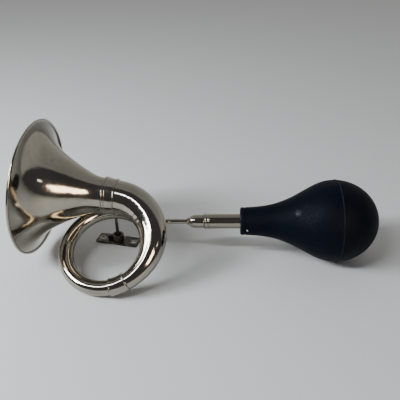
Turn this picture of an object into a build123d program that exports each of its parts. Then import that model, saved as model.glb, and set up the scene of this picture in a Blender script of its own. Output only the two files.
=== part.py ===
"""Bulb horn: a single-loop, nickel-plated brass horn blown by a rubber squeeze bulb.

Millimetres, +Z up, resting on its table. +X runs along the mouth pipe towards the bulb,
+Y points away from the loop's open side. The origin is the centre of the footprint.
"""
from build123d import *
from math import cos, pi, radians, sin
import os

os.makedirs("parts", exist_ok=True)

# ---- driving dimensions -------------------------------------------------------------------
# Where things stand: the loop's centre along X, and the mouth pipe's axis
loop_x = -110.13
axis_y = -5.94
axis_z = 50.0

# Loop of the crook, a helix of one turn in a plane tilted back from the table
loop_radius = 54.3
loop_tilt = 30.0
pipe_in_loop = 32.3
helix_start = -14.7
helix_rise = 38.7
helix_ease = 0.8
crook_start_angle = 62.0
crook_joint_angle = 281.0
crook_end_angle = 442.0
lower_radius = 9.0
crook_end_radius = 20.6
crook_wall = 0.8
flare_ease = 0.85

# Sleeve over the joint of the two crook tubes
sleeve_start_angle = 277.0
sleeve_end_angle = 294.0
sleeve_thickness = 1.1
sleeve_bead = 0.5
sleeve_bead_width = 1.0
sleeve_bead_spacing = 3.0

# Spool between the two layers of the loop
stay_angle = 77.0
stay_radius = 3.5

# Bell, measured along its axis from the end of the crook
bell_wall = 0.8
bell_length = 97.5
bell_mouth_radius = 79.8
bell_mouth_slope = 3.2
bell_start = 1.0
bell_stations = [(42, 29.4), (66, 42.2), (84, 56.2)]
rim_wire_radius = 1.5
ferrule_length = 18.8
ferrule_wall = 1.0
ferrule_end_radius = 21.7
ferrule_overlap = 0.6
ferrule_bead = 0.85
ferrule_bead_insets = (4.2, 1.0)
solder_gap = 0.1

# Mouth pipe and tail of the crook
pipe_radius = 3.0
pipe_bore = 2.2
pipe_stop = 1.0
pipe_start_x = 57.0
pipe_end_x = 97.0
tail_collar_radius = 3.8
tail_collar_length = 6.0
tail_reach = 12.0
tail_steps = 8

# Reed unit, stations along the mouth pipe's axis from the loop's centre
cap_nose_x = 91.5
cap_shoulder_x = 103.0
cap_end_x = 112.6
cap_radius = 8.3
cap_bead = 1.0
cap_skirt = 0.5
cap_floor = 3.0
washer_thickness = 0.8
washer_radius = 8.5
union_end_x = 118.8
union_radius = 8.8
union_bead = 0.5
union_bead_inset = 0.9
barrel_radius = 9.0
barrel_bore = 8.1
barrel_end_x = 186.0
plug_radius = 7.3
plug_start_x = 106.0
plug_end_x = 124.0
shallot_radius = 4.2
shallot_start_x = 112.0
shallot_end_x = 161.0
shallot_bore = 2.0
reed_flat_height = 1.0
reed_flat_inset = 1.5
reed_slot_width = 3.0
reed_slot_inset = 1.5
reed_slot_depth = 2.6
windway_radius = 1.5
windway_drop = 0.8
tongue_width = 4.0
tongue_thickness = 0.3
tongue_root_x = 129.5
tongue_root_length = 5.0
tongue_end_x = 158.5
tongue_lift = 2.0
tongue_gap = 0.25
clamp_length = 5.0
clamp_width = 7.8
clamp_height = 1.6
screw_spacing = 6.0
screw_radius = 0.6
screw_depth = 1.6
screw_head_radius = 1.0
screw_head_height = 0.7
screw_slot = 0.35

# Rubber bulb, stations along the same axis
neck_start_x = 157.0
neck_lip_x = 162.2
neck_radius = 16.9
neck_rounding = 1.5
neck_groove = 0.6
neck_swell = 0.1
seam_x = 270.0
bulb_radius = 49.6
seam_bead = 0.4
seam_bead_width = 1.8
bulb_stations = [(190, 19.4), (216, 27.8), (240, 40.6), (256, 47.6)]
cavity_stations = [(200, 18.4), (216, 24.2), (240, 36.9), (256, 43.9)]
bulb_length_behind_seam = 52.5
bulb_wall = 3.7
neck_bore_end_x = 188.0
pin_x = 164.6
pin_angle = -11.0
pin_head_radius = 1.3
pin_head_height = 0.7
pin_stand = 0.3
pin_length = 9.0

# Bracket under the top of the loop
stem_x = -2.0
stem_y = 31.0
stem_radius = 2.0
stem_foot_z = 2.6
saddle_radius = 4.5
saddle_depth = 1.8
boss_radius = 7.5
boss_top_z = 10.8
boss_rounding = 1.2
boss_bore_radius = 2.05
boss_cup_radius = 4.6
boss_cup_depth = 4.0
plate_length = 58.0
plate_width = 20.0
plate_thickness = 2.0
plate_turn = -14.0
plate_hole_spacing = 44.0
plate_hole_radius = 2.75
plate_corner = 2.5
set_screw_radius = 1.25
set_screw_height = 5.3
set_screw_gap = 0.1
set_screw_head_x = 8.8
set_screw_head_across = 5.6
set_screw_head_length = 5.0

# ---- shared construction ------------------------------------------------------------------
tilt = radians(loop_tilt)
loop_up = Vector(0, cos(tilt), sin(tilt))
loop_normal = Vector(0, -sin(tilt), cos(tilt))
pipe_origin = Vector(loop_x, axis_y, axis_z)
loop_centre = pipe_origin - loop_up * pipe_in_loop
pipe_axis = Axis(pipe_origin, (1, 0, 0))
pipe_profile = Plane(origin=pipe_origin, x_dir=(1, 0, 0), z_dir=(0, -1, 0))
sections_per_turn = 20


def on_pipe(distance):
    """Plane square to the mouth pipe at this distance from the loop's centre."""
    return Plane(origin=pipe_origin + Vector(distance, 0, 0), x_dir=(0, 1, 0), z_dir=(1, 0, 0))


def crook_point(angle):
    """Point on the crook's centreline; 90 degrees is the top of the loop."""
    turn = (angle - 90) / 360
    height = helix_start + helix_rise * (turn - helix_ease * sin(2 * pi * turn) / (2 * pi))
    flat = Vector(cos(radians(angle)), 0, 0) + loop_up * sin(radians(angle))
    return loop_centre + flat * loop_radius + loop_normal * height


def crook_tangent(angle):
    """Direction of the centreline towards the bell."""
    turn = (angle - 90) / 360
    climb = helix_rise * (1 - helix_ease * cos(2 * pi * turn)) / (2 * pi)
    flat = loop_up * cos(radians(angle)) - Vector(sin(radians(angle)), 0, 0)
    return (flat * loop_radius + loop_normal * climb).normalized()


def crook_radius(angle):
    """Outer radius of the crook: a plain tube up to the joint, then a smooth cone."""
    if angle <= crook_joint_angle:
        return lower_radius
    share = ((angle - crook_joint_angle) / (crook_end_angle - crook_joint_angle)) ** flare_ease
    return lower_radius + (crook_end_radius - lower_radius) * (3 * share**2 - 2 * share**3)


def tube_plane(point, direction):
    """Section plane of a tube, with its seam always on the same side of the loop."""
    return Plane(origin=point, x_dir=loop_normal.cross(direction), z_dir=direction)


def stations(first, last):
    """Evenly spaced crook angles for the sections of one tube."""
    count = max(3, round(abs(last - first) / 360 * sections_per_turn) + 1)
    return [first + (last - first) * step / (count - 1) for step in range(count)]


def crook_sections(first, last, extra):
    """Circles along the crook, larger than its outside by extra."""
    circles = []
    for angle in stations(first, last):
        with BuildSketch(tube_plane(crook_point(angle), crook_tangent(angle))) as section:
            Circle(crook_radius(angle) + extra)
        circles.append(section.sketch)
    return circles


# ---- crook --------------------------------------------------------------------------------
# The two tubes as solid bars, kept for cutting whatever is soldered to them
with BuildPart() as lower_bar:
    loft(crook_sections(crook_start_angle, crook_joint_angle, 0))

with BuildPart() as upper_bar:
    loft(crook_sections(crook_joint_angle, crook_end_angle, 0))

with BuildPart() as crook_lower:
    add(lower_bar.part)
    loft(crook_sections(crook_start_angle, crook_joint_angle, -crook_wall), mode=Mode.SUBTRACT)

with BuildPart() as crook_upper:
    add(upper_bar.part)
    loft(crook_sections(crook_joint_angle, crook_end_angle, -crook_wall), mode=Mode.SUBTRACT)

with BuildPart() as joint_sleeve:
    loft(crook_sections(sleeve_start_angle, sleeve_end_angle, sleeve_thickness))
    for edge in (sleeve_end_angle - sleeve_bead_spacing, sleeve_end_angle):
        loft(crook_sections(edge - sleeve_bead_width, edge, sleeve_thickness + sleeve_bead))
    add(lower_bar.part, mode=Mode.SUBTRACT)
    add(upper_bar.part, mode=Mode.SUBTRACT)

# Tail: the tube swings from the loop onto the mouth pipe's axis while it narrows
tail_start = crook_point(crook_start_angle)
tail_heading = crook_tangent(crook_start_angle) * -1
tail_end = pipe_origin + Vector(pipe_start_x - pipe_stop, 0, 0)
with BuildLine() as tail_path:
    Bezier(
        tail_start,
        tail_start + tail_heading * tail_reach,
        tail_end - Vector(tail_reach, 0, 0),
        tail_end,
    )


def tail_sections(first_radius, last_radius):
    """Circles along the tail, narrowing smoothly."""
    circles = []
    for step in range(tail_steps):
        share = step / (tail_steps - 1)
        direction = tail_path.line % share
        radius = first_radius + (last_radius - first_radius) * (3 * share**2 - 2 * share**3)
        with BuildSketch(tube_plane(tail_path.line @ share, direction)) as section:
            Circle(radius)
        circles.append(section.sketch)
    return circles


with BuildPart() as crook_tail:
    loft(tail_sections(lower_radius, tail_collar_radius))
    with BuildSketch(on_pipe(pipe_start_x - pipe_stop)):
        Circle(tail_collar_radius)
    extrude(amount=tail_collar_length)
    loft(tail_sections(lower_radius - crook_wall, pipe_bore), mode=Mode.SUBTRACT)
    with BuildSketch(on_pipe(pipe_start_x - pipe_stop)):
        Circle(pipe_bore)
    extrude(amount=pipe_stop, mode=Mode.SUBTRACT)
    with BuildSketch(on_pipe(pipe_start_x)):
        Circle(pipe_radius)
    extrude(amount=tail_collar_length, mode=Mode.SUBTRACT)

with BuildPart() as mouth_pipe:
    with BuildSketch(on_pipe(pipe_start_x)):
        Circle(pipe_radius)
        Circle(pipe_bore, mode=Mode.SUBTRACT)
    extrude(amount=pipe_end_x - pipe_start_x)

# Stay: a soldered spool between the two layers of the loop
stay_foot = crook_point(stay_angle)
with BuildPart() as crossing_stay:
    with BuildSketch(Plane(origin=stay_foot, x_dir=(1, 0, 0), z_dir=loop_normal)):
        Circle(stay_radius)
    extrude(amount=helix_rise)
    add(lower_bar.part, mode=Mode.SUBTRACT)
    add(upper_bar.part, mode=Mode.SUBTRACT)

# ---- bell ---------------------------------------------------------------------------------
bell_origin = crook_point(crook_end_angle)
bell_direction = crook_tangent(crook_end_angle)
bell_axis = Axis(bell_origin, bell_direction)
bell_profile = Plane(
    origin=bell_origin, x_dir=bell_direction, z_dir=loop_up.cross(bell_direction)
)
throat_radius = crook_end_radius + solder_gap

with BuildPart() as bell_flare:
    with BuildSketch(bell_profile):
        with BuildLine():
            throat = Line((bell_start, throat_radius), (ferrule_length, ferrule_end_radius))
            outside = Spline(
                throat @ 1,
                *bell_stations,
                (bell_length, bell_mouth_radius),
                tangents=[throat % 1, (1, bell_mouth_slope)],
            )
            mouth_edge = Line(outside @ 1, outside @ 1 + Vector(bell_wall, -bell_wall / 3))
            inside = Spline(
                mouth_edge @ 1,
                *[(x + bell_wall * 0.5, r - bell_wall) for x, r in reversed(bell_stations)],
                (ferrule_length, ferrule_end_radius - bell_wall),
                tangents=[(-1, -bell_mouth_slope), throat % 0 * -1],
            )
            throat_bore = Line(inside @ 1, (bell_start, throat_radius - bell_wall))
            Line(throat_bore @ 1, throat @ 0)
        make_face()
    revolve(axis=bell_axis)

with BuildPart() as bell_rim:
    with BuildSketch(bell_profile):
        with Locations((bell_length + bell_wall / 2, bell_mouth_radius + rim_wire_radius)):
            Circle(rim_wire_radius)
    revolve(axis=bell_axis)

with BuildPart() as bell_ferrule:
    with BuildSketch(bell_profile):
        with BuildLine():
            Polyline(
                (-ferrule_overlap, throat_radius),
                (-ferrule_overlap, crook_end_radius + ferrule_wall),
                (ferrule_length, ferrule_end_radius + ferrule_wall),
                (ferrule_length, ferrule_end_radius),
                (bell_start, throat_radius),
                close=True,
            )
        make_face()
        for inset in ferrule_bead_insets:
            with Locations((ferrule_length - inset, ferrule_end_radius + ferrule_wall)):
                Circle(ferrule_bead)
        with Locations((0, crook_end_radius + ferrule_wall)):
            Circle(ferrule_bead / 2)
    revolve(axis=bell_axis)

# ---- reed unit ----------------------------------------------------------------------------
with BuildPart() as reed_cap:
    with BuildSketch(pipe_profile):
        with BuildLine():
            nose = Line((cap_nose_x, pipe_radius), (cap_nose_x, pipe_radius + cap_bead / 2))
            nose_bead = ThreePointArc(
                nose @ 1,
                (cap_nose_x + cap_bead, pipe_radius + cap_bead),
                (cap_nose_x + 2 * cap_bead, pipe_radius + cap_bead / 2),
            )
            dome = Spline(
                nose_bead @ 1, (cap_shoulder_x, cap_radius), tangents=[(1, 3), (1, 0)]
            )
            side = Line(dome @ 1, (cap_end_x, cap_radius))
            Polyline(
                side @ 1,
                (cap_end_x, plug_radius),
                (plug_start_x, plug_radius),
                (plug_start_x, plug_radius - cap_skirt),
                (cap_shoulder_x, plug_radius - cap_skirt),
                (cap_shoulder_x - cap_floor, pipe_bore),
                (pipe_end_x, pipe_bore),
                (pipe_end_x, pipe_radius),
                nose @ 0,
            )
        make_face()
    revolve(axis=pipe_axis)

with BuildPart() as union_washer:
    with BuildSketch(on_pipe(cap_end_x)):
        Circle(washer_radius)
        Circle(plug_radius, mode=Mode.SUBTRACT)
    extrude(amount=washer_thickness)

union_start_x = cap_end_x + washer_thickness
with BuildPart() as union_ring:
    with BuildSketch(pipe_profile):
        with Locations(((union_start_x + union_end_x) / 2, (union_radius + plug_radius) / 2)):
            Rectangle(union_end_x - union_start_x, union_radius - plug_radius)
        for bead_x in (union_start_x + union_bead_inset, union_end_x - union_bead_inset):
            with Locations((bead_x, union_radius)):
                Circle(union_bead)
    revolve(axis=pipe_axis)

pin_direction = Vector(0, -cos(radians(pin_angle)), sin(radians(pin_angle)))
pin_plane = Plane(
    origin=pipe_origin + Vector(pin_x, 0, 0), x_dir=(1, 0, 0), z_dir=pin_direction
)
with BuildPart() as reed_barrel:
    with BuildSketch(on_pipe(union_end_x)):
        Circle(barrel_radius)
        Circle(barrel_bore, mode=Mode.SUBTRACT)
    extrude(amount=barrel_end_x - union_end_x)
    with BuildSketch(pin_plane):
        Circle(screw_radius)
    extrude(amount=neck_radius + neck_rounding, mode=Mode.SUBTRACT)

with BuildPart() as reed_plug:
    with BuildSketch(on_pipe(plug_start_x)):
        Circle(plug_radius)
    extrude(amount=union_end_x - plug_start_x)
    with BuildSketch(on_pipe(union_end_x)):
        Circle(barrel_bore)
    extrude(amount=plug_end_x - union_end_x)
    with BuildSketch(on_pipe(plug_start_x)):
        Circle(shallot_bore)
    extrude(amount=shallot_start_x - plug_start_x, mode=Mode.SUBTRACT)
    with BuildSketch(on_pipe(shallot_start_x)):
        Circle(shallot_radius)
    extrude(amount=plug_end_x - shallot_start_x, mode=Mode.SUBTRACT)

flat_start_x = plug_end_x + reed_flat_inset
slot_start_x = tongue_root_x + clamp_length / 2 + 1
slot_end_x = tongue_end_x - reed_slot_inset
reed_flat = Plane.XY.offset(axis_z + reed_flat_height)
screw_places = [
    (loop_x + tongue_root_x, axis_y + side * screw_spacing / 2) for side in (-1, 1)
]
with BuildPart() as reed_shallot:
    with BuildSketch(on_pipe(shallot_start_x)):
        Circle(shallot_radius)
    extrude(amount=shallot_end_x - shallot_start_x)
    with BuildSketch(reed_flat):
        with Locations((loop_x + (flat_start_x + neck_bore_end_x) / 2, axis_y)):
            Rectangle(neck_bore_end_x - flat_start_x, 3 * shallot_radius)
    extrude(amount=shallot_radius, mode=Mode.SUBTRACT)
    with BuildSketch(reed_flat):
        with Locations((loop_x + (slot_start_x + slot_end_x) / 2, axis_y)):
            SlotOverall(slot_end_x - slot_start_x, reed_slot_width)
    extrude(amount=-reed_slot_depth, mode=Mode.SUBTRACT)
    with BuildSketch(on_pipe(shallot_start_x)):
        with Locations((0, -windway_drop)):
            Circle(windway_radius)
    extrude(amount=slot_start_x + reed_slot_width - shallot_start_x, mode=Mode.SUBTRACT)
    with BuildSketch(reed_flat):
        with Locations(*screw_places):
            Circle(screw_radius)
    extrude(amount=-screw_depth - 0.2, mode=Mode.SUBTRACT)

tongue_base_z = axis_z + reed_flat_height + tongue_gap
tongue_plane = Plane(
    origin=(loop_x + tongue_root_x, axis_y, tongue_base_z),
    x_dir=(cos(radians(tongue_lift)), 0, sin(radians(tongue_lift))),
    z_dir=(-sin(radians(tongue_lift)), 0, cos(radians(tongue_lift))),
)
with BuildPart() as reed_tongue:
    with BuildSketch(tongue_plane):
        reach = tongue_end_x - tongue_root_x
        with Locations(((reach - tongue_root_length / 2) / 2, 0)):
            RectangleRounded(reach + tongue_root_length / 2, tongue_width, tongue_width * 0.2)
    extrude(amount=tongue_thickness)

clamp_relief = 2 * tongue_gap + tongue_thickness
with BuildPart() as reed_clamp:
    with BuildSketch(reed_flat):
        with Locations((loop_x + tongue_root_x, axis_y)):
            Rectangle(clamp_length, clamp_width)
    extrude(amount=clamp_height)
    with BuildSketch(reed_flat):
        with Locations((loop_x + tongue_root_x, axis_y)):
            Rectangle(clamp_length, tongue_width + 2 * tongue_gap)
    extrude(amount=clamp_relief, mode=Mode.SUBTRACT)
    with BuildSketch(reed_flat):
        with Locations(*screw_places):
            Circle(screw_radius)
    extrude(amount=clamp_height, mode=Mode.SUBTRACT)

with BuildPart() as reed_screws:
    with BuildSketch(reed_flat.offset(-screw_depth)):
        with Locations(*screw_places):
            Circle(screw_radius)
    extrude(amount=screw_depth + clamp_height)
    with BuildSketch(reed_flat.offset(clamp_height)):
        with Locations(*screw_places):
            Circle(screw_head_radius)
    extrude(amount=screw_head_height)
    with BuildSketch(reed_flat.offset(clamp_height + screw_head_height)):
        with Locations(*screw_places):
            Rectangle(3 * screw_head_radius, screw_slot)
    extrude(amount=-screw_slot, mode=Mode.SUBTRACT)

# ---- rubber bulb --------------------------------------------------------------------------
cavity_radius = bulb_radius - bulb_wall

with BuildPart() as bulb_front:
    with BuildSketch(pipe_profile):
        with BuildLine():
            mouth = Line(
                (neck_start_x, barrel_radius), (neck_start_x, neck_radius - neck_rounding)
            )
            corner = CenterArc(
                (neck_start_x + neck_rounding, neck_radius - neck_rounding),
                neck_rounding,
                start_angle=180,
                arc_size=-90,
            )
            collar = Line(corner @ 1, (neck_lip_x - neck_groove, neck_radius))
            groove = ThreePointArc(
                collar @ 1,
                (neck_lip_x, neck_radius - neck_groove),
                (neck_lip_x + neck_groove, neck_radius + neck_swell),
            )
            outside = Spline(
                groove @ 1,
                *bulb_stations,
                (seam_x, bulb_radius),
                tangents=[(1, neck_swell / 2), (1, 0)],
            )
            parting = Line(outside @ 1, (seam_x, cavity_radius))
            cavity = Spline(
                parting @ 1,
                *reversed(cavity_stations),
                (neck_bore_end_x, barrel_radius),
                tangents=[(-1, 0), (-1, -2)],
            )
            Line(cavity @ 1, mouth @ 0)
        make_face()
    revolve(axis=pipe_axis)
    with BuildSketch(pin_plane):
        Circle(screw_radius)
    extrude(amount=neck_radius + neck_rounding, mode=Mode.SUBTRACT)

with BuildPart() as bulb_rear:
    with BuildSketch(pipe_profile):
        with BuildLine():
            outside = EllipticalCenterArc(
                (seam_x, 0), bulb_length_behind_seam, bulb_radius, start_angle=0, arc_size=90
            )
            inside = EllipticalCenterArc(
                (seam_x, 0),
                bulb_length_behind_seam - bulb_wall,
                cavity_radius,
                start_angle=0,
                arc_size=90,
            )
            Line(outside @ 0, inside @ 0)
            Line(outside @ 1, inside @ 1)
        make_face()
    revolve(axis=pipe_axis)
    with BuildSketch(pipe_profile):
        with BuildLine():
            foot = bulb_radius - seam_bead
            ridge = ThreePointArc(
                (seam_x, foot),
                (seam_x + seam_bead_width / 2, bulb_radius + seam_bead),
                (seam_x + seam_bead_width, foot),
            )
            Line(ridge @ 1, ridge @ 0)
        make_face()
    revolve(axis=pipe_axis)

with BuildPart() as neck_pin:
    with BuildSketch(pin_plane.offset(neck_radius + pin_stand)):
        Circle(pin_head_radius)
    extrude(amount=pin_head_height)
    fillet(
        neck_pin.edges().sort_by(Axis(pin_plane.origin, pin_direction))[-1],
        pin_head_height * 0.7,
    )
    with BuildSketch(pin_plane.offset(neck_radius + pin_stand)):
        Circle(screw_radius)
    extrude(amount=-pin_length)

# ---- bracket ------------------------------------------------------------------------------
stem_centre = (loop_x + stem_x, axis_y + stem_y)
plate_plane = Plane(
    origin=(*stem_centre, 0),
    x_dir=(cos(radians(plate_turn)), sin(radians(plate_turn)), 0),
    z_dir=(0, 0, 1),
)
saddle_base_z = crook_point(90).Z - lower_radius - saddle_depth

with BuildPart() as stem_saddle:
    with BuildSketch(Plane.XY.offset(saddle_base_z)):
        with Locations(stem_centre):
            Circle(saddle_radius)
    extrude(amount=lower_radius)
    add(lower_bar.part, mode=Mode.SUBTRACT)
    with BuildSketch(Plane.XY.offset(saddle_base_z)):
        with Locations(stem_centre):
            Circle(stem_radius)
    extrude(amount=lower_radius, mode=Mode.SUBTRACT)

with BuildPart() as bracket_stem:
    with BuildSketch(Plane.XY.offset(stem_foot_z)):
        with Locations(stem_centre):
            Circle(stem_radius)
    extrude(amount=saddle_base_z + lower_radius - stem_foot_z)
    add(lower_bar.part, mode=Mode.SUBTRACT)

# The set screw enters the boss along the plate, from its far end
set_screw_side = Plane(
    origin=plate_plane.origin + Vector(0, 0, set_screw_height),
    x_dir=(0, 0, 1),
    z_dir=plate_plane.x_dir * -1,
)

with BuildPart() as bracket_boss:
    with BuildSketch(plate_plane.offset(plate_thickness)):
        Circle(boss_radius)
    extrude(amount=boss_top_z - plate_thickness)
    fillet(bracket_boss.edges().group_by(Axis.Z)[-1], boss_rounding)
    with BuildSketch(plate_plane.offset(boss_top_z)):
        Circle(boss_cup_radius)
    extrude(amount=-boss_cup_depth, mode=Mode.SUBTRACT)
    with BuildSketch(plate_plane.offset(plate_thickness)):
        Circle(boss_bore_radius)
    extrude(amount=boss_top_z, mode=Mode.SUBTRACT)
    with BuildSketch(set_screw_side):
        Circle(set_screw_radius)
    extrude(amount=2 * boss_radius, mode=Mode.SUBTRACT)

with BuildPart() as bracket_plate:
    with BuildSketch(plate_plane):
        RectangleRounded(plate_length, plate_width, plate_corner)
        with GridLocations(plate_hole_spacing, 0, 2, 1):
            Circle(plate_hole_radius, mode=Mode.SUBTRACT)
    extrude(amount=plate_thickness)

with BuildPart() as bracket_set_screw:
    with BuildSketch(set_screw_side.offset(boss_bore_radius + set_screw_gap)):
        Circle(set_screw_radius)
    extrude(amount=set_screw_head_x - boss_bore_radius - set_screw_gap)
    with BuildSketch(set_screw_side.offset(set_screw_head_x)):
        RectangleRounded(set_screw_head_across, set_screw_head_across, set_screw_radius / 3)
    extrude(amount=set_screw_head_length)

# ---- export -------------------------------------------------------------------------------
pieces = {
    "crook_lower": crook_lower,
    "crook_upper": crook_upper,
    "joint_sleeve": joint_sleeve,
    "crook_tail": crook_tail,
    "mouth_pipe": mouth_pipe,
    "crossing_stay": crossing_stay,
    "bell_flare": bell_flare,
    "bell_rim": bell_rim,
    "bell_ferrule": bell_ferrule,
    "reed_cap": reed_cap,
    "union_washer": union_washer,
    "union_ring": union_ring,
    "reed_barrel": reed_barrel,
    "reed_plug": reed_plug,
    "reed_shallot": reed_shallot,
    "reed_tongue": reed_tongue,
    "reed_clamp": reed_clamp,
    "reed_screws": reed_screws,
    "bulb_front": bulb_front,
    "bulb_rear": bulb_rear,
    "neck_pin": neck_pin,
    "stem_saddle": stem_saddle,
    "bracket_stem": bracket_stem,
    "bracket_boss": bracket_boss,
    "bracket_plate": bracket_plate,
    "bracket_set_screw": bracket_set_screw,
}
for name, piece in pieces.items():
    piece.part.label = name
    export_step(piece.part, f"parts/{name}.step")
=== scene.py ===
"""Looks for the bulb horn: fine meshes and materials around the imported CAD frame.

Shapes are worked out in millimetres in the row frame, and piece() turns them into metres.
"""
from math import cos, exp, pi, radians, sin, sqrt

import bmesh
import bpy
import numpy as np
from mathutils import Matrix, Quaternion, Vector, noise


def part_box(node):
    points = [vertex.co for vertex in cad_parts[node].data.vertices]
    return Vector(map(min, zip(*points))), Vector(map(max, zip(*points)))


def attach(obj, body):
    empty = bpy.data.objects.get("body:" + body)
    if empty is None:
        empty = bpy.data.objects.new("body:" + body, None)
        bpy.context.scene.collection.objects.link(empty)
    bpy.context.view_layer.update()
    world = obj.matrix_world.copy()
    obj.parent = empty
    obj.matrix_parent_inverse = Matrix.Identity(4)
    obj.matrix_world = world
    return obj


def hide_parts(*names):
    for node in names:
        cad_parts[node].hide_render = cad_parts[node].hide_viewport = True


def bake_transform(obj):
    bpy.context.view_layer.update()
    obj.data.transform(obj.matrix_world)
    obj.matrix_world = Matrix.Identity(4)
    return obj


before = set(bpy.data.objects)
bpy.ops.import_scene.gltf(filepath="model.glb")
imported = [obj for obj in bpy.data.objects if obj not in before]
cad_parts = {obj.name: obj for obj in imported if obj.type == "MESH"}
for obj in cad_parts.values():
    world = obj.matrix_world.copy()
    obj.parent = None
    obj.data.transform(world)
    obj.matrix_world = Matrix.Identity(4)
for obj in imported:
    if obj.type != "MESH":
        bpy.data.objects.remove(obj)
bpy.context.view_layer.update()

MM = 0.001
DOUBLED = 1e-6  # metres; closer points than this are one

# ---- driving dimensions, in millimetres and degrees -----------------------------------------
# Where the mouth pipe and the loop stand, from the frame
pipe_low, pipe_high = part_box("mouth_pipe")
PIPE_START = 57.0
LOOP_X = pipe_low.x / MM - PIPE_START
AXIS_Y = (pipe_low.y + pipe_high.y) / 2 / MM
AXIS_Z = (pipe_low.z + pipe_high.z) / 2 / MM
pipe_origin = Vector((LOOP_X, AXIS_Y, AXIS_Z))

# Loop of the crook
LOOP_RADIUS = 54.3
LOOP_TILT = radians(30.0)
PIPE_IN_LOOP = 32.3
HELIX_START = -14.7
HELIX_RISE = 38.7
HELIX_EASE = 0.8
START_ANGLE = 62.0
JOINT_ANGLE = 281.0
END_ANGLE = 442.0
LOWER_RADIUS = 9.0
END_RADIUS = 20.6
FLARE_EASE = 0.85
WALL = 0.8
# Creases of the upper bend: middle, spread and pitch in degrees, and the noise's columns round it
WRINKLE_MIDDLE = 408.0
WRINKLE_SPREAD = 26.0
WRINKLE_DEPTH = 0.30
WRINKLE_PITCH = 4.5
WRINKLE_COLUMNS = 26
loop_up = Vector((0, cos(LOOP_TILT), sin(LOOP_TILT)))
loop_normal = Vector((0, -sin(LOOP_TILT), cos(LOOP_TILT)))
loop_centre = pipe_origin - loop_up * PIPE_IN_LOOP

# Bell and its ferrule, along the bell's axis from the end of the crook
BELL_LENGTH = 97.5
MOUTH_RADIUS = 79.8
MOUTH_SLOPE = 3.2
BELL_STATIONS = [(42, 29.4), (66, 42.2), (84, 56.2)]
RIM_WIRE = 1.5
FERRULE_LENGTH = 18.8
BAND_LENGTH = 15.0
FERRULE_RADIUS = 21.7
FERRULE_WALL = 1.0

# Mouth pipe and reed unit, along the pipe's axis from the loop's centre
PIPE_RADIUS = 3.0
PIPE_BORE = 2.2
PIPE_END = 97.0
CAP_RADIUS = 8.3
CAP_END = 112.6
UNION_BORE = 7.3
WASHER_RADIUS = 8.5
RING_START = 113.4
RING_END = 118.8
RING_RADIUS = 8.9
RING_BEAD = 0.95
BARREL_START = 118.8
BARREL_END = 186.0
BARREL_RADIUS = 9.0
BARREL_BORE = 8.1

# Bulb, along the same axis
NECK_START = 157.0
NECK_LIP = 162.2
NECK_RADIUS = 16.9
NECK_BORE_END = 188.0
SEAM = 270.0
BULB_RADIUS = 49.6
BULB_TAIL = 52.5
BULB_WALL = 3.7
BULB_STATIONS = [(190, 19.4), (216, 27.8), (240, 40.6), (256, 47.6)]
CAVITY_STATIONS = [(256, 43.9), (240, 36.9), (216, 24.2), (200, 18.4)]
PARTING_CREST = 1.1
# Each scuff: place along the axis, degrees above level, reach and strength
SCUFFS = [(222.0, -50, 6, 1.3), (234.0, -40, 22, 0.14)]
PIN_X = 164.6
PIN_ANGLE = radians(-11.0)

# Bracket, from the stem's place in the frame
stem_low, stem_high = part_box("bracket_stem")
stem_foot = Vector((stem_low.x + stem_high.x, stem_low.y + stem_high.y, 0)) / 2 / MM
PLATE_TURN = radians(-14.0)
PLATE_TOP = 2.0
HOLE_SPACING = 44.0
BOSS_TOP = 10.8
ROD_RADIUS = 2.0
plate_along = Vector((cos(PLATE_TURN), sin(PLATE_TURN), 0))


# ---- curves ---------------------------------------------------------------------------------
def spline(points, first_slope, last_slope, count):
    """Smooth plane curve through the points, with the given directions at its ends."""
    p = np.array(points, float)
    chord = np.linalg.norm(np.diff(p, axis=0), axis=1)
    knots = np.concatenate([[0], np.cumsum(chord)])
    n = len(p)
    system = np.zeros((n, n))
    target = np.zeros((n, 2))
    system[0, 0] = system[-1, -1] = 1
    target[0] = np.array(first_slope) / np.linalg.norm(first_slope)
    target[-1] = np.array(last_slope) / np.linalg.norm(last_slope)
    for i in range(1, n - 1):
        before, after = chord[i - 1], chord[i]
        system[i, i - 1 : i + 2] = after, 2 * (before + after), before
        rise = after / before * (p[i] - p[i - 1]) + before / after * (p[i + 1] - p[i])
        target[i] = 3 * rise
    slopes = np.linalg.solve(system, target)
    curve = []
    for s in np.linspace(0, knots[-1], count):
        i = min(int(np.searchsorted(knots, s, side="right")) - 1, n - 2)
        h = chord[i]
        t = (s - knots[i]) / h
        curve.append(
            (2 * t**3 - 3 * t**2 + 1) * p[i]
            + (t**3 - 2 * t**2 + t) * h * slopes[i]
            + (3 * t**2 - 2 * t**3) * p[i + 1]
            + (t**3 - t**2) * h * slopes[i + 1]
        )
    return np.array(curve)


def arc(centre, radius, first, last, count=9):
    """Points on a circle from one angle to another, in degrees."""
    angles = np.radians(np.linspace(first, last, count))
    return np.column_stack(
        [centre[0] + radius * np.cos(angles), centre[1] + radius * np.sin(angles)]
    )


def line(first, last, count=2):
    """Evenly spaced points from first to last."""
    return np.linspace(first, last, count)


def beaded(first, last, beads, gap=1.2):
    """Straight outline with half-round beads (place, size) along it, and points between."""
    first, last = np.array(first, float), np.array(last, float)
    slope = (last[1] - first[1]) / (last[0] - first[0])
    runs, here = [], first
    for place, size in beads:
        level = first[1] + slope * (place - first[0])
        foot = np.array([place - size, level - slope * size])
        runs.append(line(here, foot, max(2, int((foot[0] - here[0]) / gap))))
        runs.append(arc((place, level), size, 180, 0, 13)[1:-1])
        here = np.array([place + size, level + slope * size])
    runs.append(line(here, last, max(2, int((last[0] - here[0]) / gap))))
    return np.vstack(runs)


def inward(outline, thickness):
    """The outline moved towards the axis, square to itself."""
    along = np.gradient(outline, axis=0)
    along /= np.linalg.norm(along, axis=1)[:, None]
    return outline + np.column_stack([along[:, 1], -along[:, 0]]) * thickness


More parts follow.
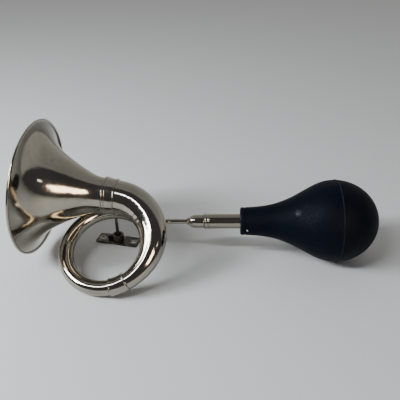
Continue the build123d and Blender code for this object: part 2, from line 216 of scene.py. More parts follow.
# ---- meshes ---------------------------------------------------------------------------------
def grid_faces(rows, columns, close_rows=True):
    """Quads of a grid whose columns run round; its rows close on themselves or stay open."""
    faces = []
    for row in range(rows if close_rows else rows - 1):
        below, above = row * columns, (row + 1) % rows * columns
        for column in range(columns):
            beside = (column + 1) % columns
            faces.append((below + column, below + beside, above + beside, above + column))
    return faces


def turned(outline, origin, direction, side, steps):
    """Rings of an outline of (distance, radius) points turned about an axis."""
    along = Vector(direction).normalized()
    across = (Vector(side) - along * along.dot(Vector(side))).normalized()
    third = along.cross(across)
    angles = np.linspace(0, 2 * pi, steps, endpoint=False)
    spokes = np.outer(np.cos(angles), across) + np.outer(np.sin(angles), third)
    outline = np.asarray(outline)
    centres = np.array(origin) + np.outer(outline[:, 0], along)
    return centres[:, None, :] + outline[:, 1][:, None, None] * spokes[None, :, :]


def tube_rings(points, directions, radii, steps):
    """Rings round a path, each square to it."""
    angles = np.linspace(0, 2 * pi, steps, endpoint=False)
    rings = []
    for point, direction, radius in zip(points, directions, radii):
        across = loop_normal.cross(direction).normalized()
        third = direction.cross(across)
        spokes = np.outer(np.cos(angles), across) + np.outer(np.sin(angles), third)
        rings.append(np.array(point) + radius * spokes)
    return np.array(rings)


def uneven(rings, centres, size, waves, seed):
    """Pushes rings in and out a little, as hand-worked sheet metal is, by smooth noise."""
    shift = Vector((seed * 7.3, seed * 3.1, seed * 5.7))
    moved = rings.copy()
    for row in range(rings.shape[0]):
        for column in range(rings.shape[1]):
            point = Vector(rings[row, column])
            away = point - Vector(centres[row])
            if away.length > 0:
                push = size * noise.noise(point / waves + shift)
                moved[row, column] = point + away.normalized() * push
    return moved


def cleaned(mesh, ends=()):
    """Puts a face over each open end, merges doubled points and turns all faces outward."""
    work = bmesh.new()
    work.from_mesh(mesh)
    for loop in ends:
        work.verts.ensure_lookup_table()
        work.faces.new([work.verts[i] for i in loop])
    bmesh.ops.remove_doubles(work, verts=work.verts, dist=DOUBLED)
    bmesh.ops.recalc_face_normals(work, faces=work.faces)
    work.to_mesh(mesh)
    work.free()
    return mesh


def piece(name, rings, material, nodes, body="horn", close=True, sharp=32):
    """A new mesh from rings of points, standing for the CAD nodes of the same place."""
    rows, columns = rings.shape[:2]
    mesh = bpy.data.meshes.new(name)
    vertices = (rings.reshape(-1, 3) * MM).tolist()
    mesh.from_pydata(vertices, [], grid_faces(rows, columns, close))
    ends = () if close else (range(columns), range((rows - 1) * columns, rows * columns))
    return placed(name, cleaned(mesh, ends), material, nodes, body, sharp)


def placed(name, mesh, material, nodes, body, sharp):
    """Shades a mesh, gives it its material and body, and hides the nodes that it stands for."""
    mesh.shade_smooth()
    mesh.set_sharp_from_angle(angle=radians(sharp))
    mesh.materials.clear()
    mesh.materials.append(material)
    result = bpy.data.objects.new(name, mesh)
    bpy.context.scene.collection.objects.link(result)
    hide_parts(*nodes)
    if body:
        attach(result, body)
    return result


# ---- materials ------------------------------------------------------------------------------
class Surface:
    """A Principled material with helpers that add the nodes its finish is made of."""

    def __init__(self, name, metallic, **fixed):
        self.material = bpy.data.materials.new(name)
        self.material.use_nodes = True
        self.tree = self.material.node_tree
        self.shader = self.tree.nodes["Principled BSDF"]
        self.shader.inputs["Metallic"].default_value = metallic
        for socket, value in fixed.items():
            self.shader.inputs[socket.replace("_", " ")].default_value = value
        self.place = self.tree.nodes.new("ShaderNodeTexCoord").outputs["Object"]
        self.heights = []

    def node(self, kind, **settings):
        made = self.tree.nodes.new(kind)
        for name, value in settings.items():
            setattr(made, name, value)
        return made

    def join(self, source, target):
        self.tree.links.new(source, target)

    def stretched(self, scale):
        mapping = self.node("ShaderNodeMapping")
        mapping.inputs["Scale"].default_value = scale
        self.join(self.place, mapping.inputs["Vector"])
        return mapping.outputs["Vector"]

    def cloud(self, scale, detail=4.0, rough=0.55, twist=0.0, place=None):
        """Smooth noise over the surface; scale is in features for each metre."""
        made = self.node("ShaderNodeTexNoise")
        made.inputs["Scale"].default_value = scale
        made.inputs["Detail"].default_value = detail
        made.inputs["Roughness"].default_value = rough
        made.inputs["Distortion"].default_value = twist
        self.join(place or self.place, made.inputs["Vector"])
        return made.outputs["Fac"]

    def between(self, source, low, high, to_low=0.0, to_high=1.0):
        """Maps a value's range from low..high to another range, and clamps it."""
        made = self.node("ShaderNodeMapRange")
        made.interpolation_type = "SMOOTHSTEP"
        for name, value in zip(
            ("From Min", "From Max", "To Min", "To Max"), (low, high, to_low, to_high)
        ):
            made.inputs[name].default_value = value
        self.join(source, made.inputs["Value"])
        return made.outputs["Result"]

    def times(self, first, second):
        made = self.node("ShaderNodeMath", operation="MULTIPLY")
        self.join(first, made.inputs[0])
        if isinstance(second, (int, float)):
            made.inputs[1].default_value = second
        else:
            self.join(second, made.inputs[1])
        return made.outputs[0]

    def plus(self, first, second):
        made = self.node("ShaderNodeMath", operation="ADD")
        self.join(first, made.inputs[0])
        self.join(second, made.inputs[1])
        return made.outputs[0]

    def near(self, centre, reach):
        """One at a place on the surface, fading to nothing at reach from it, in metres."""
        gap = self.node("ShaderNodeVectorMath", operation="DISTANCE")
        self.join(self.place, gap.inputs[0])
        gap.inputs[1].default_value = centre
        return self.between(gap.outputs["Value"], 0.0, reach, 1.0, 0.0)

    def blended(self, share, first, second):
        """Mixes two colours, either of which may be a socket, by a share from 0 to 1."""
        made = self.node("ShaderNodeMix", data_type="RGBA")
        self.join(share, made.inputs["Factor"])
        for name, colour in (("A", first), ("B", second)):
            socket = [s for s in made.inputs if s.name == name and s.type == "RGBA"][0]
            if isinstance(colour, tuple):
                socket.default_value = (*colour, 1)
            else:
                self.join(colour, socket)
        return [s for s in made.outputs if s.type == "RGBA"][0]

    def colour(self, source):
        self.join(source, self.shader.inputs["Base Color"])

    def roughness(self, source):
        self.join(source, self.shader.inputs["Roughness"])

    def relief(self, source, depth):
        """Bump of this depth in metres, added over any that is there already."""
        bump = self.node("ShaderNodeBump")
        bump.inputs["Distance"].default_value = depth
        self.join(source, bump.inputs["Height"])
        if self.heights:
            self.join(self.heights[-1], bump.inputs["Normal"])
        self.heights.append(bump.outputs["Normal"])
        self.join(bump.outputs["Normal"], self.shader.inputs["Normal"])


def nickel(name, tarnish=0.5, polish=0.07):
    """Old nickel plate: a warm grey mirror, hazed and stained in soft clouds."""
    metal = Surface(name, 1.0)
    haze = metal.between(metal.cloud(22, 6, 0.6, 0.6), 0.42, 0.68)
    stain = metal.between(metal.cloud(60, 5, 0.65, 1.2), 0.55, 0.75, 0.0, tarnish)
    specks = metal.between(metal.cloud(700, 2, 0.5), 0.70, 0.78, 0.0, 0.5 * tarnish)
    plate = metal.blended(haze, (0.335, 0.318, 0.275), (0.295, 0.275, 0.228))
    stained = metal.blended(stain, plate, (0.20, 0.175, 0.132))
    metal.colour(metal.blended(specks, stained, (0.13, 0.11, 0.085)))
    wear = metal.plus(
        metal.between(metal.cloud(35, 5, 0.6), 0.35, 0.75, 0.0, 0.07),
        metal.between(metal.cloud(420, 3, 0.6), 0.45, 0.8, 0.0, 0.06),
    )
    base = metal.node("ShaderNodeMath", operation="ADD")
    metal.join(wear, base.inputs[0])
    base.inputs[1].default_value = polish
    metal.roughness(base.outputs[0])
    metal.relief(metal.cloud(160, 3, 0.5), 0.00006)
    metal.relief(metal.cloud(1500, 2, 0.5, place=metal.stretched((1, 1, 0.35))), 0.000006)
    return metal.material


def dull_steel(name):
    """Plating gone dark and matt, worn through to brighter metal in patches."""
    metal = Surface(name, 1.0)
    lighter_share = metal.between(metal.cloud(150, 6, 0.65, 0.8), 0.46, 0.66)
    rust = metal.between(metal.cloud(420, 4, 0.6), 0.60, 0.72)
    plate = metal.blended(lighter_share, (0.060, 0.055, 0.048), (0.20, 0.19, 0.165))
    rusty = metal.blended(rust, plate, (0.075, 0.047, 0.028))
    # Screw heads have rubbed the plate bright round its holes
    holes = [stem_foot + plate_along * side * HOLE_SPACING / 2 for side in (-1, 1)]
    rings = metal.plus(*(metal.near((h + Vector((0, 0, PLATE_TOP))) * MM, 0.0062) for h in holes))
    bright = metal.between(metal.times(rings, metal.cloud(300, 3, 0.6)), 0.08, 0.28)
    metal.colour(metal.blended(bright, rusty, (0.48, 0.46, 0.42)))
    metal.roughness(metal.between(metal.cloud(260, 5, 0.6), 0.35, 0.7, 0.30, 0.62))
    metal.relief(metal.cloud(520, 5, 0.6), 0.00012)
    return metal.material


def rubber(name):
    """Moulded navy-black rubber: pale dust, two old scuffs and a painted highlight on the parting
    line's crest.
    """
    skin = Surface(name, 0.0, Specular_IOR_Level=0.07)
    tone = skin.between(skin.cloud(18, 5, 0.6, 0.5), 0.35, 0.7)
    base = skin.blended(tone, (0.0005, 0.0020, 0.0066), (0.0011, 0.0032, 0.0092))
    fine = skin.between(skin.cloud(240, 6, 0.7, 0.4), 0.50, 0.74)
    scuffs = skin.plus(
        *(
            skin.times(skin.near(scuff_place(distance, above), reach * MM), strength)
            for distance, above, reach, strength in SCUFFS
        )
    )
    dust = skin.times(skin.between(skin.cloud(420, 5, 0.7), 0.40, 0.66), scuffs)
    dusty = skin.blended(skin.times(fine, 0.3), base, (0.008, 0.012, 0.019))
    scuffed = skin.blended(dust, dusty, (0.060, 0.070, 0.090))
    # Painted highlight: the parting line's crest is painted pale in places, standing in for the
    # light that the raised ridge catches
    along = skin.node("ShaderNodeSeparateXYZ")
    skin.join(skin.place, along.inputs[0])
    crest = (pipe_origin.x + SEAM + PARTING_CREST) * MM
    before = skin.between(along.outputs["X"], crest - 0.0010, crest - 0.0002)
    after = skin.between(along.outputs["X"], crest + 0.0002, crest + 0.0010, 1.0, 0.0)
    crest_highlight_strength = skin.between(skin.cloud(90, 4, 0.6), 0.30, 0.60, 0.15, 0.75)
    # This mask is the painted highlight along the ridge's crest, patchy along its length
    lighter_share = skin.times(skin.times(before, after), crest_highlight_strength)
    skin.colour(skin.blended(lighter_share, scuffed, (0.022, 0.029, 0.042)))
    skin.roughness(skin.between(skin.cloud(60, 5, 0.6), 0.3, 0.75, 0.52, 0.66))
    skin.relief(skin.cloud(900, 4, 0.6), 0.00004)
    skin.relief(skin.cloud(90, 3, 0.5), 0.00010)
    return skin.material


def scuff_place(distance, above):
    """A place on the bulb's side that faces the open side of the loop, in metres."""
    radius = np.interp(distance, *zip((NECK_START, NECK_RADIUS), *BULB_STATIONS))
    angle = radians(above)
    off = Vector((0, -cos(angle), -sin(angle))) * radius
    return (pipe_origin + Vector((distance, 0, 0)) + off) * MM


def plain_metal(name, dark, light, rough):
    """Turned or rolled metal of the inner parts, with fine tool marks."""
    metal = Surface(name, 1.0)
    tone = metal.between(metal.cloud(120, 5, 0.6), 0.35, 0.7)
    metal.colour(metal.blended(tone, dark, light))
    metal.roughness(metal.between(metal.cloud(300, 4, 0.6), 0.3, 0.8, rough, rough + 0.15))
    metal.relief(metal.cloud(2200, 2, 0.5, place=metal.stretched((1, 0.05, 0.05))), 0.00001)
    return metal.material


def leather(name):
    """Oiled brown leather, pebbled and darker in its pores."""
    hide = Surface(name, 0.0)
    pores = hide.between(hide.cloud(1400, 4, 0.6), 0.35, 0.65)
    hide.colour(hide.blended(pores, (0.035, 0.018, 0.010), (0.10, 0.055, 0.030)))
    hide.roughness(hide.between(pores, 0, 1, 0.75, 0.5))
    hide.relief(pores, 0.0001)
    return hide.material


bell_nickel = nickel("nickel_bell", tarnish=0.55, polish=0.085)
crook_nickel = nickel("nickel_crook", tarnish=0.45, polish=0.06)
fitting_nickel = nickel("nickel_fittings", tarnish=0.3, polish=0.08)
bracket_steel = dull_steel("bracket_steel")
screw_steel = plain_metal("screw_steel", (0.40, 0.385, 0.36), (0.60, 0.58, 0.54), 0.22)
turned_brass = plain_metal("turned_brass", (0.46, 0.33, 0.15), (0.66, 0.50, 0.25), 0.25)
spring_bronze = plain_metal("spring_bronze", (0.52, 0.34, 0.18), (0.70, 0.48, 0.27), 0.22)
washer_leather = leather("washer_leather")
bulb_rubber = rubber("bulb_rubber")


# ---- crook ----------------------------------------------------------------------------------
def crook_point(angle):
    """Point on the crook's centreline; 90 degrees is the top of the loop."""
    turn = (angle - 90) / 360
    height = HELIX_START + HELIX_RISE * (turn - HELIX_EASE * sin(2 * pi * turn) / (2 * pi))
    flat = Vector((cos(radians(angle)), 0, 0)) + loop_up * sin(radians(angle))
    return loop_centre + flat * LOOP_RADIUS + loop_normal * height


def crook_tangent(angle):
    """Direction of the centreline towards the bell."""
    turn = (angle - 90) / 360
    climb = HELIX_RISE * (1 - HELIX_EASE * cos(2 * pi * turn)) / (2 * pi)
    flat = loop_up * cos(radians(angle)) - Vector((sin(radians(angle)), 0, 0))
    return (flat * LOOP_RADIUS + loop_normal * climb).normalized()


def crook_radius(angle):
    """Outer radius: a plain tube up to the joint, then a smooth cone."""
    if angle <= JOINT_ANGLE:
        return LOWER_RADIUS
    share = ((angle - JOINT_ANGLE) / (END_ANGLE - JOINT_ANGLE)) ** FLARE_EASE
    return LOWER_RADIUS + (END_RADIUS - LOWER_RADIUS) * (3 * share**2 - 2 * share**3)


def crook_rings(angles, extra, steps):
    """Rings along the crook, larger than its outside by extra at each angle."""
    radii = [crook_radius(a) + e for a, e in zip(angles, extra)]
    points = [crook_point(a) for a in angles]
    return tube_rings(points, [crook_tangent(a) for a in angles], radii, steps)


def wrinkled(rings, angles):
    """Faint creases where the bending crowded the metal, on the inside of the upper bend."""
    for row, angle in enumerate(angles):
        strength = exp(-(((angle - WRINKLE_MIDDLE) / WRINKLE_SPREAD) ** 2))
        if strength < 0.02:
            continue
        centre = crook_point(angle)
        inner = (loop_centre - centre).normalized()
        for column in range(rings.shape[1]):
            away = Vector(rings[row, column]) - centre
            side = max(0.0, away.normalized().dot(inner) + 0.35)
            wave = noise.noise(Vector((angle / WRINKLE_PITCH, column / WRINKLE_COLUMNS, 3.7)))
            push = WRINKLE_DEPTH * strength * side * wave
            rings[row, column] += np.array(away.normalized() * push)
    return rings


def crook_tube(name, first, last, step, steps, seed):
    """One tube of the crook with its wall, a little uneven along its length."""
    count = int(round((last - first) / step)) + 1
    angles = np.linspace(first, last, count)
    centres = [crook_point(a) for a in angles]
    outside = crook_rings(angles, np.zeros(count), steps)
    outside = uneven(outside, centres, 0.10, 22, seed)
    outside = wrinkled(outside, angles)
    inside = crook_rings(angles, np.full(count, -WALL), steps)
    rings = np.concatenate([outside, inside[::-1]])
    return piece(name + "_fine", rings, crook_nickel, [name])


def sleeve():
    """Sleeve over the joint of the two tubes, with a fine bead near each end."""
    first, last = 277.0, 297.5
    thickness, bead, bead_spread = 1.4, 0.7, 0.4
    flush, edge_round = 0.05, 0.4
    profile = []
    for angle in np.linspace(first, last, 140):
        in_mm = (angle - first) * radians(1) * LOOP_RADIUS
        out_mm = (last - angle) * radians(1) * LOOP_RADIUS
        edge = min(in_mm, out_mm)
        extra = thickness * sqrt(min(1.0, edge / edge_round)) if edge > 0 else flush
        for middle in (first + 0.7, last - 0.8):
            gap = (angle - middle) * radians(1) * LOOP_RADIUS
            extra += bead * exp(-((gap / bead_spread) ** 2))
        profile.append((angle, max(extra, flush)))
    angles = [a for a, _ in profile]
    outside = crook_rings(angles, [e for _, e in profile], 128)
    inside = crook_rings(angles, [-0.2] * len(angles), 128)
    rings = np.concatenate([outside, inside[::-1]])
    return piece("joint_sleeve_fine", rings, crook_nickel, ["joint_sleeve"])


def tail():
    """The tube swings from the loop to the mouth pipe while it narrows, and ends in a collar."""
    reach, collar_radius, bore = 12.0, 3.8, PIPE_BORE
    start = crook_point(START_ANGLE)
    heading = crook_tangent(START_ANGLE) * -1
    end = pipe_origin + Vector((PIPE_START - 1, 0, 0))
    controls = [start, start + heading * reach, end - Vector((reach, 0, 0)), end]
    points, directions, radii = [], [], []
    for share in np.linspace(0, 1, 60):
        rest = 1 - share
        weights = (rest**3, 3 * rest**2 * share, 3 * rest * share**2, share**3)
        points.append(sum((c * w for c, w in zip(controls, weights)), Vector()))
        slope = (
            (controls[1] - controls[0]) * rest**2
            + (controls[2] - controls[1]) * 2 * rest * share
            + (controls[3] - controls[2]) * share**2
        )
        directions.append(slope.normalized())
        narrow = 3 * share**2 - 2 * share**3
        radii.append(LOWER_RADIUS + (collar_radius - LOWER_RADIUS) * narrow)
    forward = Vector((1, 0, 0))
    collar = ((0.6, 0.0), (5.0, 0.0), (5.6, 0.1), (6.0, 0.5))
    for distance, less in collar:
        points.append(end + forward * distance)
        directions.append(forward)
        radii.append(collar_radius - less)
    outside = tube_rings(points, directions, radii, 96)
    inner = [max(bore, r - WALL) for r in radii]
    inside = tube_rings(points, directions, inner, 96)
    rings = np.concatenate([outside, inside[::-1]])
    return piece("crook_tail_fine", rings, crook_nickel, ["crook_tail"])


def stay():
    """Waisted spool soldered between the two layers of the loop."""
    angle, low, high, middle, half = 77.0, 8.4, 30.5, 19.3, 10.5
    waist, swell, largest = 2.6, 1.0, 3.5
    foot = crook_point(angle)
    heights = np.linspace(low, high, 25)
    radii = waist + swell * ((heights - middle) / half) ** 2
    outline = np.column_stack([heights, np.minimum(radii, largest)])
    rings = turned(outline, foot, loop_normal, (1, 0, 0), 64)
    return piece("crossing_stay_fine", rings, crook_nickel, ["crossing_stay"], close=False)


crook_tube("crook_lower", START_ANGLE, JOINT_ANGLE, 0.9, 128, 1)
crook_tube("crook_upper", JOINT_ANGLE, END_ANGLE, 0.5, 192, 2)
sleeve()
tail()
stay()

# ---- bell -----------------------------------------------------------------------------------
bell_origin = crook_point(END_ANGLE)
bell_direction = crook_tangent(END_ANGLE)


def bell_turned(outline, steps):
    return turned(outline, bell_origin, bell_direction, loop_up, steps)


def bell():
    """Spun flare with an even wall and a few shallow hand dents."""
    throat = line((1.0, END_RADIUS + 0.1), (FERRULE_LENGTH, FERRULE_RADIUS), 8)
    slope = throat[-1] - throat[0]
    mouth = (BELL_LENGTH, MOUTH_RADIUS)
    points = [throat[-1], *BELL_STATIONS, mouth]
    flare = spline(points, slope, (1, MOUTH_SLOPE), 110)
    outside = np.vstack([throat[:-1], flare])
    inside = inward(outside, WALL)[::-1]
    outline = np.vstack([outside, inside])
    rings = bell_turned(outline, 288)
    centres = np.array(bell_origin) + np.outer(outline[:, 0], bell_direction)
    rings = uneven(rings, centres, 0.30, 38, 3)
    rings = uneven(rings, centres, 0.05, 9, 4)
    return piece("bell_flare_fine", rings, bell_nickel, ["bell_flare"])


def rim():
    """Wire rolled into the bell's edge, as uneven as the edge itself."""
    centre = (BELL_LENGTH + 0.4, MOUTH_RADIUS + RIM_WIRE)
    outline = arc(centre, RIM_WIRE, 0, 360, 25)[:-1]
    rings = bell_turned(outline, 288)
    centres = np.array(bell_origin) + np.outer(outline[:, 0], bell_direction)
    rings = uneven(rings, centres, 0.30, 38, 3)
    return piece("bell_rim_fine", rings, bell_nickel, ["bell_rim"])


def ferrule():
    """Beaded band that joins the bell to the crook; it stops short of the throat's end."""
    low = (-0.6, END_RADIUS + FERRULE_WALL)
    high = (BAND_LENGTH, FERRULE_RADIUS + FERRULE_WALL - 0.2)
    beads = [(0.4, 0.8), (BAND_LENGTH - 4.4, 0.75), (BAND_LENGTH - 1.2, 1.0)]
    outside = beaded(low, high, beads)
    inside = line((BAND_LENGTH, FERRULE_RADIUS - 0.4), (-0.6, END_RADIUS - 0.1), 6)
    rings = bell_turned(np.vstack([outside, inside]), 192)
    return piece("bell_ferrule_fine", rings, bell_nickel, ["bell_ferrule"])


bell()
rim()
ferrule()


# ---- mouth pipe and reed unit ---------------------------------------------------------------
def pipe_turned(outline, steps):
    return turned(outline, pipe_origin, (1, 0, 0), (0, 0, 1), steps)


def pipe_piece(name, runs, material, steps=96):
    """A round piece on the mouth pipe's axis, from the runs of its closed outline."""
    rings = pipe_turned(np.vstack(runs), steps)
    return piece(name + "_fine", rings, material, [name])


pipe_piece(
    "mouth_pipe",
    [
        line((PIPE_START, PIPE_RADIUS), (PIPE_END, PIPE_RADIUS), 40),
        line((PIPE_END, PIPE_BORE), (PIPE_START, PIPE_BORE), 4),
    ],
    fitting_nickel,
    64,
)
# Nose bead, dome, skirt and its rounded edge, then back along the inside
pipe_piece(
    "reed_cap",
    [
        arc((92.5, 3.5), 1.0, 180, 20, 10),
        spline([(93.5, 3.6), (96.2, 6.4), (103.0, CAP_RADIUS)], (0.35, 1), (1, 0), 26),
        line((103.5, CAP_RADIUS), (CAP_END - 0.7, CAP_RADIUS), 8),
        arc((CAP_END - 0.5, CAP_RADIUS - 0.5), 0.5, 90, 0, 5),
        line((CAP_END, UNION_BORE), (106, UNION_BORE - 0.1), 4),
        line((103.0, 6.7), (100.0, 2.3), 3),
        line((PIPE_END, 2.3), (91.5, PIPE_RADIUS), 3),
    ],
    fitting_nickel,
    128,
)
pipe_piece(
    "union_washer",
    [
        line((CAP_END, WASHER_RADIUS - 0.3), (CAP_END + 0.1, WASHER_RADIUS)),
        line((RING_START - 0.1, WASHER_RADIUS), (RING_START, WASHER_RADIUS - 0.3)),
        line((RING_START, UNION_BORE), (CAP_END, UNION_BORE)),
    ],
    washer_leather,
)
ring_beads = [(RING_START + 1.1, RING_BEAD), (RING_END - 1.1, RING_BEAD)]
pipe_piece(
    "union_ring",
    [
        beaded((RING_START, RING_RADIUS), (RING_END, RING_RADIUS), ring_beads),
        line((RING_END, UNION_BORE), (RING_START, UNION_BORE), 3),
    ],
    fitting_nickel,
    128,
)
pipe_piece(
    "reed_barrel",
    [
        arc((BARREL_START + 0.5, BARREL_RADIUS - 0.5), 0.5, 180, 90, 6),
        line((120, BARREL_RADIUS), (BARREL_END - 1, BARREL_RADIUS), 60),
        line((BARREL_END, BARREL_RADIUS - 0.2), (BARREL_END, BARREL_BORE)),
        line((BARREL_END - 1, BARREL_BORE), (BARREL_START + 0.2, BARREL_BORE), 8),
    ],
    fitting_nickel,
    128,
)


# ---- rubber bulb ----------------------------------------------------------------------------
pin_direction = Vector((0, -cos(PIN_ANGLE), sin(PIN_ANGLE)))
pin_foot = pipe_origin + Vector((PIN_X, 0, 0)) + pin_direction * NECK_RADIUS


def bulb():
    """One moulded bulb: lipped neck, pear body and the raised parting line."""
    edge, groove = 1.5, 0.6
    neck = np.vstack(
        [
            line((NECK_START, BARREL_RADIUS), (NECK_START, NECK_RADIUS - edge), 8),
            arc((NECK_START + edge, NECK_RADIUS - edge), edge, 175, 90, 9),
            line((NECK_START + edge + 0.2, NECK_RADIUS), (NECK_LIP - groove, NECK_RADIUS), 8),
            arc((NECK_LIP, NECK_RADIUS), groove, 180, 360, 9),
        ]
    )
    points = [(NECK_LIP + groove, NECK_RADIUS), *BULB_STATIONS, (SEAM, BULB_RADIUS)]
    pear = spline(points, (1, 0.05), (1, 0), 260)[1:]
    ridge = arc((SEAM + PARTING_CREST, BULB_RADIUS - 0.5), 1.15, 154, 26, 13)
    angles = np.radians(np.linspace(88.2, 0, 110))
    dome = np.column_stack([SEAM + BULB_TAIL * np.cos(angles), BULB_RADIUS * np.sin(angles)])
    angles = np.radians(np.linspace(0, 90, 60))
    tail_inside = SEAM + (BULB_TAIL - BULB_WALL) * np.cos(angles)
    dome_inside = np.column_stack([tail_inside, (BULB_RADIUS - BULB_WALL) * np.sin(angles)])
    mouth, neck_end = (SEAM, BULB_RADIUS - BULB_WALL), (NECK_BORE_END, BARREL_RADIUS)
    cavity = spline([mouth, *CAVITY_STATIONS, neck_end], (-1, 0), (-1, -2), 90)[1:]
    outline = np.vstack([neck, pear, ridge, dome, dome_inside, cavity])
    rings = pipe_turned(outline, 240)
    centres = np.array(pipe_origin) + np.outer(outline[:, 0], (1, 0, 0))
    rings = uneven(rings, centres, 0.22, 45, 5)
    # The pin has pulled a small dimple into the neck
    dimple_depth, dimple_spread = 1.4, 1.7
    for row in range(len(neck) + len(pear)):
        gaps = np.linalg.norm(rings[row] - np.array(pin_foot), axis=1)
        sunk = dimple_depth * np.exp(-((gaps / dimple_spread) ** 2))
        rings[row] -= sunk[:, None] * np.array(pin_direction)
    made = piece(
        "rubber_bulb",
        rings,
        bulb_rubber,
        ["bulb_front", "bulb_rear"],
        body=None,
        sharp=50,
    )
    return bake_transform(made)


def neck_pin():
    """Small domed pin sunk in the neck, which holds the bulb on the barrel."""
    length, shank, head, sunk = 9.0, 0.6, 1.3, 0.6
    outline = np.vstack(
        [
            line((-length, 0.0), (-length, shank)),
            line((-length + 0.2, shank), (-1.0, shank), 4),
            line((-1.0, head - 0.1), (-sunk, head)),
            arc((-sunk, 0), head, 80, 0, 8),
        ]
    )
    rings = turned(outline, pin_foot, pin_direction, (1, 0, 0), 32)
    name, nodes = "neck_pin_fine", ["neck_pin"]
    return piece(name, rings, screw_steel, nodes, close=False, sharp=50)


bulb()
neck_pin()


# ---- bracket --------------------------------------------------------------------------------
def upright(name, outline, material, body, steps=64, sharp=32):
    """A round piece on the stem's axis, from its closed outline of (height, radius)."""
    rings = turned(np.vstack(outline), stem_foot, (0, 0, 1), (1, 0, 0), steps)
    return piece(name + "_fine", rings, material, [name], body=body, sharp=sharp)


def stem():
    """Round rod brazed under the top of the loop."""
    foot, edge, top = 2.6, 0.3, stem_high.z / MM
    outline = [
        line((foot, 0.0), (foot, ROD_RADIUS - edge)),
        line((foot + edge, ROD_RADIUS), (top - edge, ROD_RADIUS), 30),
        line((top, ROD_RADIUS - 0.2), (top, 0.0)),
    ]
    upright("bracket_stem", outline, bracket_steel, "horn")


def saddle():
    """Braze collar where the stem meets the tube."""
    low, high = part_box("stem_saddle")
    base, top, radius, edge = low.z / MM, high.z / MM, 4.5, 0.6
    outline = [
        line((base, ROD_RADIUS), (base, radius - edge)),
        arc((base + edge, radius - edge), edge, 180, 90, 6)[1:],
        line((base + 2 * edge, radius), (top - 1.0, radius), 6),
        line((top - 0.5, radius - 0.5), (top - 0.5, ROD_RADIUS), 3),
    ]
    upright("stem_saddle", outline, fitting_nickel, "horn")


def boss():
    """Cup that the stem turns in: rounded lip, sunk floor and a close bore."""
    bore, radius, lip, cup_radius, cup_floor = 2.05, 7.5, 1.2, 4.6, 6.8
    outline = [
        line((PLATE_TOP, bore), (PLATE_TOP, radius), 4),
        line((PLATE_TOP + 0.5, radius), (BOSS_TOP - lip, radius), 8),
        arc((BOSS_TOP - lip, radius - lip), lip, 90, 0, 9),
        line((BOSS_TOP, cup_radius + 1.3), (BOSS_TOP - 0.1, cup_radius + 0.3), 2),
        line((BOSS_TOP - 0.5, cup_radius), (cup_floor, cup_radius), 8),
        line((cup_floor, cup_radius - 0.2), (cup_floor, bore), 4),
    ]
    upright("bracket_boss", outline, bracket_steel, "bracket", 96)


def plate():
    """Stamped plate with rounded corners, two screw holes and softened edges."""
    length, width, corner, hole = 58.0, 20.0, 2.5, 2.75
    bevel = 0.35
    shape = bpy.data.curves.new("plate_outline", "CURVE")
    shape.dimensions = "2D"
    shape.fill_mode = "BOTH"
    outer = []
    for quarter in range(4):
        x = (length / 2 - corner) * (1 if quarter in (0, 3) else -1)
        y = (width / 2 - corner) * (1 if quarter in (0, 1) else -1)
        outer.extend(arc((x, y), corner, quarter * 90, quarter * 90 + 90, 9))
    loops = [outer] + [arc((side * HOLE_SPACING / 2, 0), hole, 0, 350, 36) for side in (-1, 1)]
    for points in loops:
        path = shape.splines.new("POLY")
        path.points.add(len(points) - 1)
        path.use_cyclic_u = True
        for place, (x, y) in zip(path.points, points):
            place.co = (x * MM, y * MM, 0, 1)
    shape.extrude = (PLATE_TOP / 2 - bevel) * MM
    shape.bevel_depth = bevel * MM
    shape.bevel_resolution = 3
    shape.offset = -bevel * MM
    draft = bpy.data.objects.new("plate_outline", shape)
    bpy.context.scene.collection.objects.link(draft)
    graph = bpy.context.evaluated_depsgraph_get()
    mesh = bpy.data.meshes.new_from_object(draft.evaluated_get(graph))
    bpy.data.objects.remove(draft)
    turn = Matrix.Translation(stem_foot * MM + Vector((0, 0, PLATE_TOP / 2 * MM)))
    mesh.transform(turn @ Matrix.Rotation(PLATE_TURN, 4, "Z"))
    name, nodes = "bracket_plate_fine", ["bracket_plate"]
    placed(name, cleaned(mesh), bracket_steel, nodes, "bracket", 25)


def set_screw():
    """Square-headed screw in the boss, pointing away from the bulb."""
    height, shank, head, first, last = 5.3, 1.25, 5.6, 8.8, 13.8
    origin = stem_foot + Vector((0, 0, height))
    across, up = plate_along.cross(Vector((0, 0, 1))), Vector((0, 0, 1))
    angles = np.linspace(0, 2 * pi, 64, endpoint=False)

    def ring(distance, size, square):
        spokes = []
        for angle in angles:
            c, s = cos(angle), sin(angle)
            reach = size / (abs(c) ** 8 + abs(s) ** 8) ** (1 / 8) if square else size
            spokes.append(origin - plate_along * distance + (across * c + up * s) * reach)
        return np.array(spokes)

    rings = [
        ring(2.2, shank - 0.2, False),
        ring(2.5, shank, False),
        ring(first, shank, False),
        ring(first, head / 2 - 0.4, True),
        ring(first + 0.4, head / 2, True),
        ring(last - 0.5, head / 2, True),
        ring(last, head / 2 - 0.5, True),
    ]
    piece(
        "bracket_set_screw_fine",
        np.array(rings),
        bracket_steel,
        ["bracket_set_screw"],
        body="bracket",
        close=False,
    )


stem()
saddle()
boss()
plate()
set_screw()

# ---- inner reed parts keep their CAD shapes -------------------------------------------------
inner_finish = {
    "reed_plug": turned_brass,
    "reed_shallot": turned_brass,
    "reed_clamp": turned_brass,
    "reed_tongue": spring_bronze,
    "reed_screws": screw_steel,
}
for node, material in inner_finish.items():
    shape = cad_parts[node].data
    shape.materials.clear()
    shape.materials.append(material)

